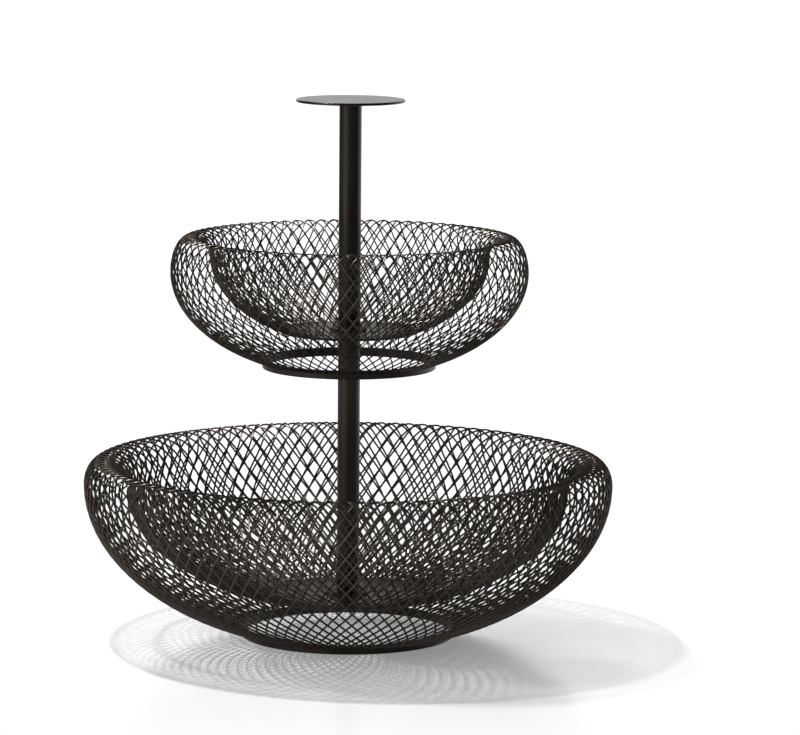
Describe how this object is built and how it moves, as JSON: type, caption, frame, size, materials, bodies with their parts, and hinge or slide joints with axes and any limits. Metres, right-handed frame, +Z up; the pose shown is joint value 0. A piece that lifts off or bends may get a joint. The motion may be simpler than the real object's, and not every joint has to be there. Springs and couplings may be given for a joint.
{
  "type": "tiered wire basket",
  "caption": "Two-tier fruit basket: double-walled bowls of crossed wires on foot rings, stacked on a slim post with a flat round grip disc.",
  "frame": {"origin": "on the post's axis, on the surface that the lower foot ring stands on", "axes": "+Z up along the post; +X and +Y are any two level directions, because the basket is round"},
  "size_m": [0.2976, 0.2976, 0.302],
  "materials": {
    "powder_coated_steel": "matte black powder coat with a fine texture",
    "zinc_plated_steel": "zinc plated",
    "nylon": "black nylon"
  },
  "bodies": {
    "base": {"lower_foot_ring": "powder_coated_steel", "lower_floor_disc": "powder_coated_steel", "base_lock_washer": "zinc_plated_steel", "post_base_washer": "powder_coated_steel", "base_bolt": "zinc_plated_steel", "lower_post_tube": "powder_coated_steel", "lower_post_bottom_insert": "zinc_plated_steel", "lower_post_top_insert": "zinc_plated_steel", "lower_seat_washer": "nylon", "lower_right_hand_wires": "powder_coated_steel", "lower_left_hand_wires": "powder_coated_steel"},
    "upper_bowl": {"upper_foot_ring": "powder_coated_steel", "upper_floor_disc": "powder_coated_steel", "upper_right_hand_wires": "powder_coated_steel", "upper_left_hand_wires": "powder_coated_steel"},
    "handle_washer": {"upper_seat_washer": "nylon"},
    "handle": {"connecting_stud": "zinc_plated_steel", "upper_post_insert": "zinc_plated_steel", "upper_post_tube": "powder_coated_steel", "handle_plug": "zinc_plated_steel", "handle_disc": "powder_coated_steel"}
  },
  "joints": [
    {"name": "tier_lift", "type": "slide", "parent": "base", "child": "upper_bowl", "axis": [0, 0, 1], "range_m": [0, 0.04]},
    {"name": "handle_rise", "type": "slide", "parent": "upper_bowl", "child": "handle_washer", "axis": [0, 0, 1], "range_m": [0, 0.01]},
    {"name": "handle_unscrew", "type": "hinge", "parent": "handle_washer", "child": "handle", "pos_m": [0, 0, 0.174], "axis": [0, 0, 1], "range_deg": [0, 3600]}
  ],
  "couplings": [
    {"joint": "handle_rise", "follows": "handle_unscrew", "m_per_rad": 0.00015915}
  ]
}
